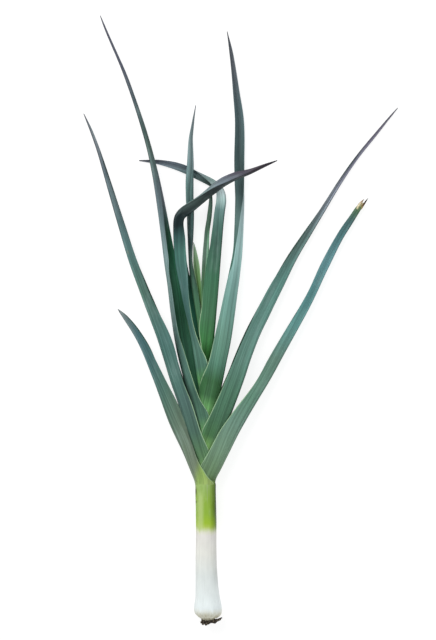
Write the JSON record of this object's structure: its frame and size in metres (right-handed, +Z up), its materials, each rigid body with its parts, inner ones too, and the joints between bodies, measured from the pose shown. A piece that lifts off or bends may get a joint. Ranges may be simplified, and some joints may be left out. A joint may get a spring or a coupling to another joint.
{
  "type": "leek",
  "caption": "Fresh leek lying down, with a rounded bulb and trimmed roots, a pale straight shank and a fan of long folded green leaves.",
  "frame": {"origin": "bottom centre of the whole leek's box, on the surface that it lies on", "axes": "+Y along the plant from the roots to the leaf tips, +Z up from the surface, +X to the right seen from above with the tips ahead"},
  "size_m": [0.4376, 0.85, 0.0395],
  "materials": {
    "shank": "satin white to pale green plant skin",
    "root_plate": "matte",
    "root": "matte",
    "leaf": "waxy satin",
    "heart_leaf": "waxy satin"
  },
  "bodies": {
    "root": {"shank": "shank", "root_plate": "root_plate", "root_01": "root", "root_02": "root", "root_03": "root", "root_04": "root", "root_05": "root", "root_06": "root", "root_07": "root", "root_08": "root", "root_09": "root", "root_10": "root", "root_11": "root", "root_12": "root", "leaf_left_1": "leaf", "leaf_right_1": "leaf", "leaf_left_2": "leaf", "leaf_right_2": "leaf", "leaf_left_3": "leaf", "leaf_right_3": "leaf", "leaf_left_4": "leaf", "leaf_right_4": "leaf", "leaf_left_5": "leaf", "leaf_right_5": "leaf", "heart_leaf": "heart_leaf"}
  },
  "joints": []
}
